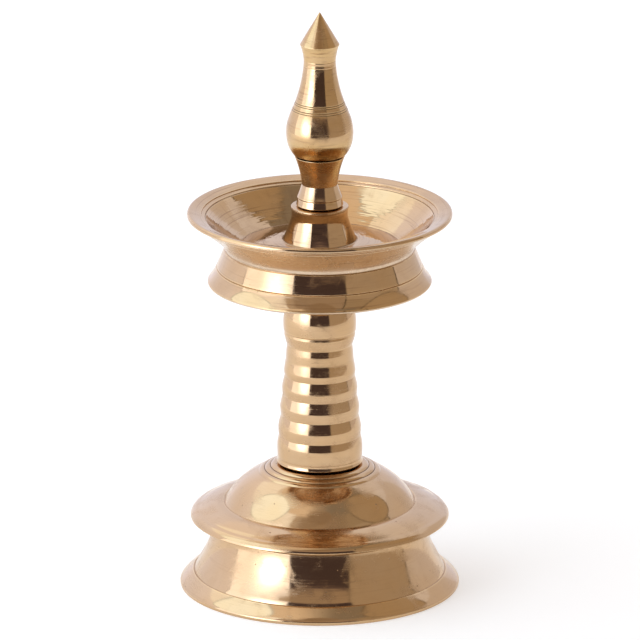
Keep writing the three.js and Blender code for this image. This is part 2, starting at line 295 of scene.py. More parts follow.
def makeCastingPits():
    # Pinholes of the casting, in loose clusters
    tree, given = openGroup("castingPits", "Spacing", "Radius", "Amount", "Depth")
    spot, *_ = millimetres(tree)
    size = maths(tree, "DIVIDE", 1.0, given["Spacing"])
    cells = addNode(tree, "ShaderNodeTexVoronoi", {"Vector": spot, "Scale": size}).outputs
    distance = maths(tree, "MULTIPLY", cells["Distance"], given["Spacing"])
    each = addNode(tree, "ShaderNodeSeparateColor", {0: cells["Color"]}).outputs
    widths = maths(tree, "MULTIPLY", given["Radius"], maths(tree, "ADD", each[0], grain["pitLeast"]))
    hole = maths(tree, "SUBTRACT", 1.0, maths(tree, "DIVIDE", distance, widths), clamp=True)
    cluster = noise(tree, {"Vector": spot, "Scale": grain["pitClusters"], "Detail": 2.0})
    amount = maths(tree, "MULTIPLY", given["Amount"], ramp(tree, cluster, *grain["pitClustersShown"]))
    chosen = maths(tree, "LESS_THAN", each[1], amount)
    mask = maths(tree, "MULTIPLY", ramp(tree, hole, *grain["pitEdge"]), chosen)
    depth = maths(tree, "MULTIPLY", mask, given["Depth"])
    return closeGroup(tree, {"Height": maths(tree, "MULTIPLY", depth, -1.0), "Mask": mask})


def makeHandMarks():
    # Where hands and cloths have dulled the polish, in soft patches and fine wipe marks
    tree, given = openGroup("handMarks", "Size", "Amount")
    spot, parts, _, radius = millimetres(tree)
    patches = noise(tree, {
        "Vector": spot, "Scale": maths(tree, "DIVIDE", 1.0, given["Size"]),
        "Detail": 4.0, "Roughness": 0.6, "Distortion": 0.6})
    wipeAt = addNode(tree, "ShaderNodeCombineXYZ", {
        0: maths(tree, "MULTIPLY", radius, grain["wipesAcross"]),
        1: maths(tree, "MULTIPLY", parts[2], grain["wipesAcross"]),
        2: maths(tree, "MULTIPLY", parts[0], grain["wipesAlong"])}).outputs[0]
    wipes = ramp(tree, noise(tree, {"Vector": wipeAt, "Scale": 1.0, "Detail": 2.0}), *grain["wipesShown"])
    wipes = maths(tree, "MULTIPLY", wipes, grain["wipesShare"])
    both = maths(tree, "ADD", ramp(tree, patches, *grain["patchesShown"]), wipes)
    return closeGroup(tree, {"Mask": maths(tree, "MULTIPLY", both, given["Amount"], clamp=True)})


def makeSeamShadeAndDirt():
    # Painted shade in the grooves and corners, with old polish that stays there
    tree, given = openGroup("seamShadeAndDirt", "Amount", "Spread")
    spot, *_ = millimetres(tree)
    hollow = addNode(tree, "ShaderNodeAttribute", attribute_name="shadeAndGrime").outputs["Fac"]
    broken = noise(tree, {"Vector": spot, "Scale": grain["shadeAndDirtBreaks"], "Detail": 4.0, "Roughness": 0.7})
    spread = maths(tree, "MULTIPLY", maths(tree, "SUBTRACT", broken, 0.5), given["Spread"])
    mask = maths(tree, "MULTIPLY", ramp(tree, maths(tree, "ADD", hollow, spread), *grain["shadeAndDirtShown"]), hollow)
    return closeGroup(tree, {"Mask": maths(tree, "MULTIPLY", mask, given["Amount"], clamp=True)})


def makeRubbedEdge():
    # Proud edges, where the metal is rubbed bright
    tree, given = openGroup("rubbedEdge", "Amount")
    spot, *_ = millimetres(tree)
    proud = addNode(tree, "ShaderNodeAttribute", attribute_name="edge").outputs["Fac"]
    broken = noise(tree, {"Vector": spot, "Scale": grain["edgeBreaks"], "Detail": 3.0})
    mask = maths(tree, "MULTIPLY", proud, ramp(tree, broken, *grain["edgeBreaksShown"], grain["edgeLeast"], 1.0))
    return closeGroup(tree, {"Mask": maths(tree, "MULTIPLY", mask, given["Amount"], clamp=True)})


def makeOilStain():
    # Brown film of burnt oil, as clouds and streaks between two radii, above a height
    tree, given = openGroup("oilStain", "Inner", "Outer", "Lowest", "Amount")
    spot, parts, across, radius = millimetres(tree)
    streakAt = vectorMaths(
        tree, "MULTIPLY", vectorMaths(tree, "NORMALIZE", across), {1: (grain["streaks"], grain["streaks"], 0)})
    streaks = noise(tree, {"Vector": streakAt, "Scale": 1.0, "Detail": 5.0, "Roughness": 0.6})
    clouds = noise(tree, {
        "Vector": spot, "Scale": grain["clouds"], "Detail": 5.0, "Roughness": 0.65, "Distortion": 0.8})
    start = ramp(tree, radius, given["Inner"], maths(tree, "ADD", given["Inner"], grain["stainStart"]))
    end = ramp(tree, radius, given["Outer"], maths(tree, "SUBTRACT", given["Outer"], grain["stainEnd"]))
    band = maths(tree, "MULTIPLY", start, end)
    above = maths(tree, "GREATER_THAN", parts[2], given["Lowest"])
    mask = ramp(tree, streaks, *grain["streaksShown"])
    for share in (ramp(tree, clouds, *grain["cloudsShown"]), band, above):
        mask = maths(tree, "MULTIPLY", mask, share)
    return closeGroup(tree, {"Mask": maths(tree, "MULTIPLY", mask, given["Amount"], clamp=True)})


def makeFacing():
    # Which way a surface faces: down, like the flare and the spool, or up, like the dish
    tree, given = openGroup("facing", "Least")
    normal = addNode(tree, "ShaderNodeTexCoord").outputs["Normal"]
    rise = addNode(tree, "ShaderNodeSeparateXYZ", {0: normal}).outputs[2]
    full = maths(tree, "ADD", given["Least"], grain["upBand"])
    return closeGroup(tree, {
        "Down": ramp(tree, rise, *grain["downShown"]), "Up": ramp(tree, rise, given["Least"], full)})


effects = dict(
    lines=makeTurningLines(), waves=makeSlowWaves(), pits=makeCastingPits(), marks=makeHandMarks(),
    shadeAndDirt=makeSeamShadeAndDirt(), rubbed=makeRubbedEdge(), stain=makeOilStain(), facing=makeFacing())


def makeBrass(name, look):
    finish = bpy.data.materials.new(name)
    finish.use_nodes = True
    tree = finish.node_tree
    shader = tree.nodes["Principled BSDF"]
    shader.inputs["Metallic"].default_value = 1

    def effect(key, values):
        made = addNode(tree, "ShaderNodeGroup", node_tree=effects[key])
        for label, value in values.items():
            made.inputs[label].default_value = value
        return made.outputs

    def times(a, b):
        return maths(tree, "MULTIPLY", a, b)

    fineLines, broadLines, chatter = [effect("lines", look[key]) for key in ("fineLines", "broadLines", "chatter")]
    waves = effect("waves", look["waves"])
    pits = effect("pits", look["pits"])
    marks = effect("marks", look["marks"])["Mask"]
    shadeAndDirt = effect("shadeAndDirt", look["shadeAndDirt"])["Mask"]
    rubbed = effect("rubbed", {"Amount": look["rubbed"]})["Mask"]
    facing = effect("facing", {"Least": look["upLeast"]})

    # Downward faces get their own painted tone, lighter or darker, standing in for how their reflections look.
    layers = [(times(marks, look["dulling"]), "dullAndPaintedStreaks"), (times(facing["Down"], look["paintedUnderShare"]), "under")]
    if "stain" in look:
        layers.append((effect("stain", look["stain"])["Mask"], "stained"))
    layers += [
        # Streaks along the broad turning lines are painted reflection, in the dull colour.
        (rubbed, "bright"), (times(broadLines["Mask"], look["paintedStreakShare"]), "dullAndPaintedStreaks"),
        # Pits and hollow corners get painted shade, mixed with dirt and old polish.
        (pits["Mask"], "shadeAndDirtColour"), (shadeAndDirt, "shadeAndDirtColour")]
    colour = blendColours(tree, ramp(tree, waves["Mask"], *look["warmShown"]), look["brass"], look["brassWarm"])
    for share, over in layers:
        colour = blendColours(tree, share, colour, look[over])
    tree.links.new(colour, shader.inputs["Base Color"])

    rough = ramp(tree, marks, 0.0, 1.0, *look["polish"])
    rough = maths(tree, "ADD", rough, times(shadeAndDirt, look["dirtRough"]))
    rough = maths(tree, "ADD", rough, times(facing["Down"], look["underRough"]))
    rough = maths(tree, "SUBTRACT", rough, times(rubbed, look["rubbedSmooth"]), clamp=True)
    tree.links.new(rough, shader.inputs["Roughness"])

    # Heights are in millimetres, as the bump node's distance says.
    height = maths(tree, "ADD", fineLines["Height"], broadLines["Height"])
    height = times(height, ramp(tree, facing["Down"], 0.0, 1.0, 1.0, look["underLines"]))
    ripple = times(chatter["Height"], ramp(tree, facing["Up"], 0.0, 1.0, look["sideChatter"], 1.0))
    for more in (ripple, waves["Height"], pits["Height"]):
        height = maths(tree, "ADD", height, more)
    bump = addNode(tree, "ShaderNodeBump", {"Height": height, "Distance": 0.001, "Strength": 1.0})
    tree.links.new(bump.outputs[0], shader.inputs["Normal"])
    return finish


brassLook = dict(
    # The dull colour is both dulled polish and painted reflection streaks.
    brass=(0.60, 0.41, 0.24, 1), brassWarm=(0.60, 0.395, 0.215, 1), dullAndPaintedStreaks=(0.50, 0.32, 0.175, 1),
    # The dirt colour paints shade into hollows and pits, with dirt and old polish.
    under=(0.50, 0.32, 0.175, 1), bright=(0.76, 0.54, 0.29, 1), shadeAndDirtColour=(0.16, 0.082, 0.038, 1),
    fineLines={"Spacing": 0.25, "Depth": 0.0012, "Breaks": 0.8},
    broadLines={"Spacing": 1.1, "Depth": 0.005, "Breaks": 1.0}, paintedStreakShare=0.25,
    underLines=5.0, underRough=0.14, paintedUnderShare=0.1, upLeast=0.55,
    chatter={"Spacing": 4.5, "Depth": 0.02, "Breaks": 1.6}, sideChatter=0.5,
    waves={"Size": 16.0, "Depth": 0.035}, warmShown=(0.35, 0.65),
    marks={"Size": 9.0, "Amount": 0.8}, dulling=0.35, polish=(0.09, 0.3),
    pits={"Spacing": 2.6, "Radius": 0.2, "Amount": 0.35, "Depth": 0.05},
    shadeAndDirt={"Amount": 1.0, "Spread": 0.6}, dirtRough=0.35, rubbed=0.6, rubbedSmooth=0.04)
print("samai: shader groups made")

# threads
stemThread = dict(pitch=2.0, radius=5.0, bore=5.15, chamfer=0.5, depth=1.1, boreDepth=8.8)
finialThread = dict(pitch=1.5, radius=3.0, bore=3.15, chamfer=0.4, depth=0.85, boreDepth=6.8)
threadForm = dict(
    slope=1.5, flat=0.25, boreShare=0.8, fade=0.4, mouth=0.5, wallWithin=0.03, boreRows=8, studRows=10)
seatGap = 0.25


def threadWave(height, angle, pitch):
    # 1 on the crest and 0 in the root of a right-hand thread, with narrow flats
    share = (height / pitch - angle / (2 * math.pi)) % 1
    return max(0.0, min(1.0, (1 - abs(2 * share - 1)) * threadForm["slope"] - threadForm["flat"]))


def cutThreads(seat, *bores):
    # Cuts threads into the walls of bores, each given as (thread, floor, mouth), and fades them out at both ends.
    t = threadForm

    def shape(r, z, angle):
        for thread, floor, mouth in bores:
            low, high = sorted((floor, mouth))
            if abs(r - thread["bore"]) <= t["wallWithin"] and low < z < high:
                fade = max(0.0, min(1.0, (z - low - t["fade"]) / t["fade"], (high - t["mouth"] - z) / t["fade"]))
                wave = threadWave(z + seat, angle, thread["pitch"])
                return r + fade * wave * thread["depth"] * t["boreShare"], z
        return r, z

    return shape


def boreWall(path, thread, height):
    # Rows close enough for the thread
    rows = round(abs(height - path[-1][1]) / thread["pitch"] * threadForm["boreRows"])
    lineTo(path, thread["bore"], height, rows)


def boreBelow(thread):
    # Starts an outline with the bore in the underside, from its floor to its mouth.
    path = [(0, thread["boreDepth"], 0)]
    lineTo(path, thread["bore"], thread["boreDepth"])
    boreWall(path, thread, thread["chamfer"])
    lineTo(path, thread["bore"] + thread["chamfer"], 0)
    return path


def boreAbove(path, thread, mouth, floor, endRadius=0):
    # Adds the bore in the top, from its mouth to its floor, and then the floor or the end of the boss round it.
    lineTo(path, thread["bore"] + thread["chamfer"], mouth)
    lineTo(path, thread["bore"], mouth - thread["chamfer"])
    boreWall(path, thread, floor)
    lineTo(path, endRadius, floor)


# base
base = dict(
    footRadius=47.9, footEdgeRound=0.6, footEdgeHeight=1.1, footRingWidth=4.5, footRingHeight=5.3,
    footRingLean=0.45, footRingTurn=1.3, footBearingWidth=3.3, skirtFootRadius=42.8, skirtHeight=15.6,
    waistRadius=36.4, skirtFlare=0.9, skirtTurnShare=0.6, waistLine=dict(rise=0.2, width=0.35, depth=0.12),
    underFlangeCove=2.4, flangeRadius=44.3, flangeUnderRise=0.6, flangeEdge=1.3, flangeEdgeRound=0.35,
    flangeEdgeLean=0.4, flangeRollWidth=2.8, flangeRollRise=1.45, flangeTopBulge=0.42, flangeTopRise=4.3,
    domeFootRadius=32.6, domeHeight=10.8, domeBulge=1.3, domeRings=3, domeRingWidth=2.0, domeRingRise=0.98,
    domeRingBulge=0.3, seatStepRadius=14.9, groove=0.4, wall=2.6, domeWall=2.9, bossRadius=9.5, bossDepth=10.0,
    facets=160)

baseFinish = makeBrass("baseBrass", {
    **brassLook, "pits": {"Spacing": 2.4, "Radius": 0.25, "Amount": 0.8, "Depth": 0.06},
    "waves": {"Size": 16.0, "Depth": 0.02}})


def makeBase():
    b = base
    footTop, footInner = b["footRadius"] - b["footRingWidth"], b["footRadius"] - b["footBearingWidth"]
    cove = b["footRingHeight"] + b["groove"] + b["skirtHeight"]
    turn = cove - b["skirtHeight"] * (1 - b["skirtTurnShare"])
    under = cove + b["underFlangeCove"]
    edge = under + b["flangeUnderRise"]
    edgeTop = edge + b["flangeEdge"]
    domeFoot = edgeTop + b["flangeTopRise"] - b["groove"]
    rings = domeFoot + b["domeHeight"]
    ringsRadius = b["seatStepRadius"] + b["domeRings"] * b["domeRingWidth"]
    top = rings + b["domeRings"] * b["domeRingRise"]
    bossEnd = top - b["bossDepth"]
    hollow = b["waistRadius"] - b["wall"]

    path = [(footInner, 0, 0)]
    lineTo(path, b["footRadius"] - b["footEdgeRound"], 0)
    bendTo(path, b["footRadius"], 0, b["footRadius"], b["footEdgeRound"], 6)
    lineTo(path, b["footRadius"], b["footEdgeHeight"])
    bendTo(path, b["footRadius"] - b["footRingLean"], b["footEdgeHeight"] + b["footRingTurn"], footTop,
           b["footRingHeight"], 12)
    lineTo(path, footTop - b["groove"], b["footRingHeight"] - b["groove"] / 2, shadeAndDirt=0.55)
    lineTo(path, b["skirtFootRadius"], b["footRingHeight"] + b["groove"])
    bendTo(path, b["waistRadius"] + b["skirtFlare"], turn, b["waistRadius"], cove, 18)
    bendTo(path, b["waistRadius"], under, b["waistRadius"] + b["underFlangeCove"], under, 8)
    lineTo(path, b["flangeRadius"] - b["flangeUnderRise"], edge)
    bendTo(path, b["flangeRadius"], edge, b["flangeRadius"], edge + b["flangeEdgeRound"], 6)
    bendTo(path, b["flangeRadius"] - b["flangeEdgeLean"], edgeTop + b["flangeEdgeLean"] * 2,
           b["flangeRadius"] - b["flangeRollWidth"], edgeTop + b["flangeRollRise"], 14)
    arcTo(path, b["domeFootRadius"] + b["groove"], domeFoot + b["groove"] / 2, b["flangeTopBulge"], 14)
    lineTo(path, b["domeFootRadius"], domeFoot, shadeAndDirt=0.45)
    arcTo(path, ringsRadius, rings, b["domeBulge"], 18)
    for ring in range(1, b["domeRings"] + 1):
        radius, height = ringsRadius - ring * b["domeRingWidth"], rings + ring * b["domeRingRise"]
        arcTo(path, radius, height, b["domeRingBulge"], 8)
    boreAbove(path, stemThread, top, bossEnd, b["bossRadius"])
    lineTo(path, b["bossRadius"], rings - b["domeWall"])
    arcTo(path, b["domeFootRadius"] - b["domeWall"], domeFoot - b["groove"], -b["domeBulge"], 10)
    bendTo(path, hollow, domeFoot - b["domeWall"], hollow, cove, 8)
    bendTo(path, hollow + b["skirtFlare"], turn, b["skirtFootRadius"] - b["wall"], b["footRingHeight"], 10)
    engrave(path, b["waistRadius"], cove + b["waistLine"]["rise"], b["waistLine"])
    shape = cutThreads(0, (stemThread, bossEnd, top))
    turnPiece("base", path, b["facets"], baseFinish, closed=True, shape=shape)
    print("samai: base turned")


makeBase()

# stem
stem = dict(
    seatRadius=12.6, footRadius=14.75, footChamfer=1.1, footTurn=0.7, footRound=0.25, collar=1.55, collarTurn=1.6,
    ribs=[7.3, 7.2, 7.2, 6.9, 5.9, 5.4], ribDepths=[0.45, 0.6, 0.55, 0.5, 0.2, 0.04],
    ribCrests=[0.62, 0.45, 0.44, 0.41, 0.33, 0.55], ribRoundness=0.12, ribTopRadius=11.15, taperPower=1.4,
    barrelRadius=12.5, barrelBulge=0.4, barrelFootRadius=11.2, barrelTopRadius=10.7, barrelHeight=15.5,
    barrelCrest=8.2, step=dict(height=90.3, width=1.3, depth=0.3, shadeAndDirt=0.3, skew=0.28),
    neckRadius=8.7, neckHeight=11.4, headRadius=11.5, headHeight=4.2, neckShoulder=1.0, facets=128)

stemFinish = makeBrass("stemBrass", {
    **brassLook, "broadLines": {"Spacing": 0.9, "Depth": 0.004, "Breaks": 1.0}})


def makeStem(seat):
    s = stem
    length = sum(s["ribs"])
    collarTop = s["footChamfer"] + s["collar"]
    barrelFoot = collarTop + length
    barrelTop = barrelFoot + s["barrelHeight"]
    headBottom = barrelTop + s["neckHeight"]
    top = headBottom + s["headHeight"]
    upperFloor = top - stemThread["boreDepth"]

    def ribRadius(height):
        share = max(0.0, min(1.0, height / length)) ** s["taperPower"]
        return s["footRadius"] + (s["ribTopRadius"] - s["footRadius"]) * share

    path = boreBelow(stemThread)
    lineTo(path, s["seatRadius"], 0)
    bendTo(path, s["footRadius"] - s["footRound"], 0, s["footRadius"], s["footChamfer"] * s["footTurn"], 8)
    bendTo(path, s["footRadius"] - s["ribDepths"][0], s["footChamfer"] * s["collarTurn"],
           s["footRadius"] - s["ribDepths"][0] / 2, collarTop, 8)
    bottom = 0
    for height, depth, crestShare in zip(s["ribs"], s["ribDepths"], s["ribCrests"]):
        crest, ribTop = bottom + height * crestShare, bottom + height
        arcTo(path, ribRadius(crest), collarTop + crest, depth * s["ribRoundness"], 6)
        arcTo(path, ribRadius(ribTop) - depth, collarTop + ribTop, depth * s["ribRoundness"], 7, shadeAndDirt=0.3)
        bottom = ribTop
    lineTo(path, s["barrelFootRadius"], barrelFoot)
    arcTo(path, s["barrelRadius"], barrelFoot + s["barrelCrest"], s["barrelBulge"], 10)
    arcTo(path, s["barrelTopRadius"], barrelTop, s["barrelBulge"], 8)
    lineTo(path, s["barrelFootRadius"] - s["neckShoulder"], barrelTop)
    bendTo(path, s["neckRadius"], barrelTop + s["neckShoulder"],
           s["neckRadius"], barrelTop + s["neckHeight"] / 2, 6)
    bendTo(path, s["neckRadius"], headBottom - s["neckShoulder"], s["headRadius"], headBottom, 6)
    lineTo(path, s["headRadius"], top)
    boreAbove(path, stemThread, top, upperFloor)
    engrave(path, s["barrelRadius"], s["step"]["height"] - seat, s["step"])
    shape = cutThreads(seat, (stemThread, stemThread["boreDepth"], 0), (stemThread, upperFloor, top))
    turnPiece("stem", path, s["facets"], stemFinish, place=seat, shape=shape)
    print("samai: stem turned")
    return seat + top


# The stem's seat is taken from the CAD frame.
stemTop = makeStem(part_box("stem")[0].z * 1000)

# oil bowl
bowl = dict(
    skirtDrop=9.7, skirtRadius=38.25, skirtEdge=0.8, skirtWall=2.7, ringHeight=5.6, ringTopRadius=35.3,
    ringHollow=0.2, waistRadius=32.5, waistHeight=6.8, flareHeight=11.3, flareTurnShare=0.25,
    plateEdge=25.5, rimRadius=45.25, rimThickness=1.6, rimUnderRound=0.5, rimTopRound=1.0, rimUndercut=0.9,
    lipWidth=4.9, lipFall=1.0, ledgeWidth=1.2, ledgeFall=0.8, floorRadius=27.3, floorThickness=3.4, wallSag=0.4,
    moundRise=2.5, bossFootRadius=12.5, bossFootFlare=6.9, bossWaistRadius=9.6, bossWaistDrop=3.2,
    bossTopRadius=9.9, bossLipRound=0.5, oilWall=2.0, groove=0.4, facets=160,
    ledgeLine=dict(inward=0.3, fall=0.2, width=0.45, depth=0.12, shadeAndDirt=0.8),
    flareLines=(
        dict(radius=43.4, fall=0.9, width=0.35, depth=0.1, shadeAndDirt=0.7),
        dict(radius=42.2, fall=2.1, width=0.35, depth=0.1, shadeAndDirt=0.5)))

bowlFinish = makeBrass("bowlBrass", {
    # The pale under colour paints light onto the flare and undersides.
    **brassLook, "under": (0.70, 0.55, 0.40, 1), "paintedUnderShare": 0.85, "dullAndPaintedStreaks": (0.34, 0.20, 0.11, 1), "dulling": 0.16,
    "stained": (0.30, 0.165, 0.08, 1), "stain": {"Inner": 26.0, "Outer": 40.0, "Lowest": 120.5, "Amount": 0.35},
    "chatter": {"Spacing": 2.4, "Depth": 0.16, "Breaks": 2.0}, "sideChatter": 0.06, "polish": (0.06, 0.22),
    "fineLines": {"Spacing": 0.25, "Depth": 0.0016, "Breaks": 0.8}, "underLines": 6.0,
    # Stronger painted reflection streaks along the broad lines
    "broadLines": {"Spacing": 0.7, "Depth": 0.007, "Breaks": 1.0}, "paintedStreakShare": 0.55})


def makeBowl(seat):
    b = bowl
    bottom = -b["skirtDrop"]
    ringTop = bottom + b["ringHeight"]
    crease = ringTop + b["waistHeight"]
    turn = crease + b["flareHeight"] * b["flareTurnShare"]
    rimBottom = crease + b["flareHeight"]
    rimTop = rimBottom + b["rimThickness"]
    lipInner = b["rimRadius"] - b["lipWidth"]
    ledge = rimTop - b["lipFall"]
    bossFoot = b["floorThickness"] + b["moundRise"]
    moundMiddle = (b["floorRadius"] + b["bossFootRadius"]) / 2
    bossTop = stemThread["boreDepth"] + b["oilWall"] + finialThread["boreDepth"]
    bossFloor = bossTop - finialThread["boreDepth"]

    path = boreBelow(stemThread)
    lineTo(path, b["plateEdge"], 0, 4)
    bendTo(path, b["waistRadius"] - b["skirtWall"], 0, b["ringTopRadius"] - b["skirtWall"], ringTop, 10)
    lineTo(path, b["skirtRadius"] - b["skirtWall"], bottom)
    lineTo(path, b["skirtRadius"] - b["skirtEdge"], bottom)
    bendTo(path, b["skirtRadius"], bottom, b["skirtRadius"], bottom + b["skirtEdge"], 6)
    arcTo(path, b["ringTopRadius"], ringTop, -b["ringHollow"], 10)
    lineTo(path, b["ringTopRadius"] - b["groove"], ringTop, shadeAndDirt=0.4)
    lineTo(path, b["ringTopRadius"] - b["groove"] / 2, ringTop + b["groove"], shadeAndDirt=0.4)
    lineTo(path, b["waistRadius"] + b["groove"] / 2, crease - b["groove"], 6)
    lineTo(path, b["waistRadius"] - b["groove"] / 2, crease, shadeAndDirt=0.5)
    lineTo(path, b["waistRadius"], crease + b["groove"])
    bendTo(path, b["waistRadius"], turn, b["rimRadius"] - b["rimUndercut"], rimBottom, 18)
    bendTo(path, b["rimRadius"], rimBottom, b["rimRadius"], rimBottom + b["rimUnderRound"], 6)
    bendTo(path, b["rimRadius"], rimTop, b["rimRadius"] - b["rimTopRound"], rimTop, 8)
    lineTo(path, lipInner, ledge, 4)
    lineTo(path, lipInner, ledge - b["ledgeFall"] / 2, shadeAndDirt=0.3)
    lineTo(path, lipInner - b["ledgeWidth"], ledge - b["ledgeFall"])
    arcTo(path, b["floorRadius"], b["floorThickness"], -b["wallSag"], 12)
    lineTo(path, b["floorRadius"] - b["groove"], b["floorThickness"])
    bendTo(path, moundMiddle, bossFoot, b["bossFootRadius"] + b["groove"], bossFoot - b["groove"] / 2, 12)
    lineTo(path, b["bossFootRadius"], bossFoot)
    bendTo(path, b["bossWaistRadius"], bossFoot + b["bossFootFlare"],
           b["bossWaistRadius"], bossTop - b["bossWaistDrop"], 12)
    bendTo(path, b["bossWaistRadius"], bossTop - b["bossLipRound"],
           b["bossTopRadius"], bossTop - b["bossLipRound"], 8)
    bendTo(path, b["bossTopRadius"], bossTop, b["bossTopRadius"] - b["bossLipRound"], bossTop, 6)
    boreAbove(path, finialThread, bossTop, bossFloor)
    line = b["ledgeLine"]
    engrave(path, lipInner - b["ledgeWidth"] - line["inward"], ledge - b["ledgeFall"] - line["fall"], line)
    for line in b["flareLines"]:
        engrave(path, line["radius"], rimBottom - line["fall"], line)
    shape = cutThreads(seat, (stemThread, stemThread["boreDepth"], 0), (finialThread, bossFloor, bossTop))
    turnPiece("oil_bowl", path, b["facets"], bowlFinish, place=seat, shape=shape)
    print("samai: oil bowl turned")
    return seat + bossTop


bossTop = makeBowl(stemTop + seatGap)

# finial neck
# The corners of neck and bud are sharper than the others.
finialCorner = 0.15
neck = dict(
    footRadius=8.05, footRound=0.35, footTopRadius=7.5, footHeight=2.6, grooveHeight=0.3, groove=0.2,
    bellRadius=7.75, bellHeight=4.6, bellTopRadius=6.1, bellHollow=0.08, spoolRadius=6.15,
    spoolFlare=0.45, spoolTurnShare=0.52, spoolTopRadius=8.6, boreWall=3.8, facets=96)

neckFinish = makeBrass("neckBrass", {
    **brassLook, "brass": (0.61, 0.42, 0.25, 1), "brassWarm": (0.60, 0.40, 0.225, 1),
    "dullAndPaintedStreaks": (0.46, 0.29, 0.12, 1), "dulling": 0.25, "polish": (0.12, 0.24), "marks": {"Size": 7.0, "Amount": 0.6},
    "under": (0.64, 0.42, 0.18, 1), "paintedUnderShare": 0.4, "underLines": 3.0,
    "waves": {"Size": 5.0, "Depth": 0.012}, "paintedStreakShare": 0.5})


def makeNeck(seat):
    n = neck
    length = finialThread["boreDepth"] * 2 + n["boreWall"]
    upperFloor = length - finialThread["boreDepth"]
    bellBottom = n["footHeight"] + n["grooveHeight"]
    bellTop = bellBottom + n["bellHeight"]
    turn = bellTop + (length - bellTop) * n["spoolTurnShare"]

    path = boreBelow(finialThread)
    lineTo(path, n["footRadius"] - n["footRound"], 0)
    lineTo(path, n["footRadius"], n["footRound"])
    lineTo(path, n["footTopRadius"], n["footHeight"])
    lineTo(path, n["footTopRadius"] - n["groove"], n["footHeight"], shadeAndDirt=0.4)
    lineTo(path, n["footTopRadius"] - n["groove"], bellBottom, shadeAndDirt=0.4)
    lineTo(path, n["bellRadius"], bellBottom)
    arcTo(path, n["bellTopRadius"], bellTop, -n["bellHollow"], 10)
    lineTo(path, n["spoolRadius"], bellTop + n["groove"], shadeAndDirt=0.4)
    bendTo(path, n["spoolRadius"] + n["spoolFlare"], turn, n["spoolTopRadius"], length, 14)
    boreAbove(path, finialThread, length, upperFloor)
    shape = cutThreads(seat, (finialThread, finialThread["boreDepth"], 0), (finialThread, upperFloor, length))
    turnPiece("finial_neck", path, n["facets"], neckFinish, corner=finialCorner, place=seat,
              shape=shape)
    print("samai: finial neck turned")
    return seat + length


neckTop = makeNeck(bossTop + seatGap)

# finial bud
bud = dict(
    seatRadius=7.8, footRadius=8.85, footRise=0.35, radius=11.5, bellyHeight=8.4, turnShare=0.4,
    shoulderRadius=8.95, shoulderHeight=9.2, throatRadius=5.5, throatHeight=15.2, throatFlare=0.5,
    capRadius=6.75, capUnderHeight=6.4, capHeight=11.2, tipRadius=0.25, facets=96,
    lines=(
        dict(radius=9.2, heights=(172.3, 171.6, 170.0, 169.2), width=0.42, depth=0.14, shadeAndDirt=1.0),
        dict(radius=5.5, heights=(184.5, 186.6, 188.9, 190.3), width=0.35, depth=0.04, shadeAndDirt=0.5)),
    uneven=dict(height=0.6, width=0.5, depth=0.07, waves=((2, 0.6), (5, 1))))

budFinish = makeBrass("budBrass", {
    **brassLook, "brass": (0.61, 0.41, 0.225, 1), "brassWarm": (0.60, 0.39, 0.19, 1),
    "dullAndPaintedStreaks": (0.44, 0.27, 0.14, 1), "dulling": 0.4, "waves": {"Size": 7.0, "Depth": 0.02},
    "broadLines": {"Spacing": 0.7, "Depth": 0.006, "Breaks": 1.0}, "paintedStreakShare": 0.6,
    "chatter": {"Spacing": 1.8, "Depth": 0.012, "Breaks": 1.2},
    "under": (0.66, 0.45, 0.20, 1), "paintedUnderShare": 0.5, "underLines": 0.8, "underRough": 0.05})


def makeBud(seat):
    b = bud
    shoulder = b["bellyHeight"] + b["shoulderHeight"]
    throat = shoulder + b["throatHeight"]
    cap = throat + b["capUnderHeight"]
    tip = cap + b["capHeight"]

    path = boreBelow(finialThread)
    lineTo(path, b["seatRadius"], 0)
    lineTo(path, b["footRadius"], b["footRise"])
    bendTo(path, b["radius"], b["bellyHeight"] * b["turnShare"], b["radius"], b["bellyHeight"], 14)
    bendTo(path, b["radius"], b["bellyHeight"] + b["shoulderHeight"] * b["turnShare"],
           b["shoulderRadius"], shoulder, 14)
    bendTo(path, b["throatRadius"] + b["throatFlare"], shoulder + b["throatHeight"] / 2,
           b["throatRadius"], throat, 20)
    bendTo(path, b["throatRadius"], throat + b["capUnderHeight"] / 2, b["capRadius"], cap, 12)
    lineTo(path, b["tipRadius"], tip - b["tipRadius"], 8)
    lineTo(path, 0, tip)
    for line in b["lines"]:
        for height in line["heights"]:
            engrave(path, line["radius"], height - seat, line)
    threaded = cutThreads(seat, (finialThread, finialThread["boreDepth"], 0))

    def shape(r, z, angle):
        # The bud's foot is dressed unevenly, so its seat line varies.
        uneven = b["uneven"]
        if z < uneven["height"] and r > b["seatRadius"] - uneven["width"]:
            waves = math.prod(math.sin(angle * count + start) for count, start in uneven["waves"])
            z += uneven["depth"] * (1 + waves)
        return threaded(r, z, angle)

    turnPiece("finial_bud", path, b["facets"], budFinish, corner=finialCorner, place=seat,
              shape=shape)
    print("samai: finial bud turned")


makeBud(neckTop + seatGap)

# studs
studs = dict(chamfer=0.7, corner=0.1, facets=48)

studFinish = makeBrass("studBrass", {
    **brassLook, "brass": (0.60, 0.38, 0.18, 1), "brassWarm": (0.56, 0.34, 0.15, 1), "polish": (0.2, 0.34),
    "dulling": 0.6, "waves": {"Size": 3.0, "Depth": 0.01}})


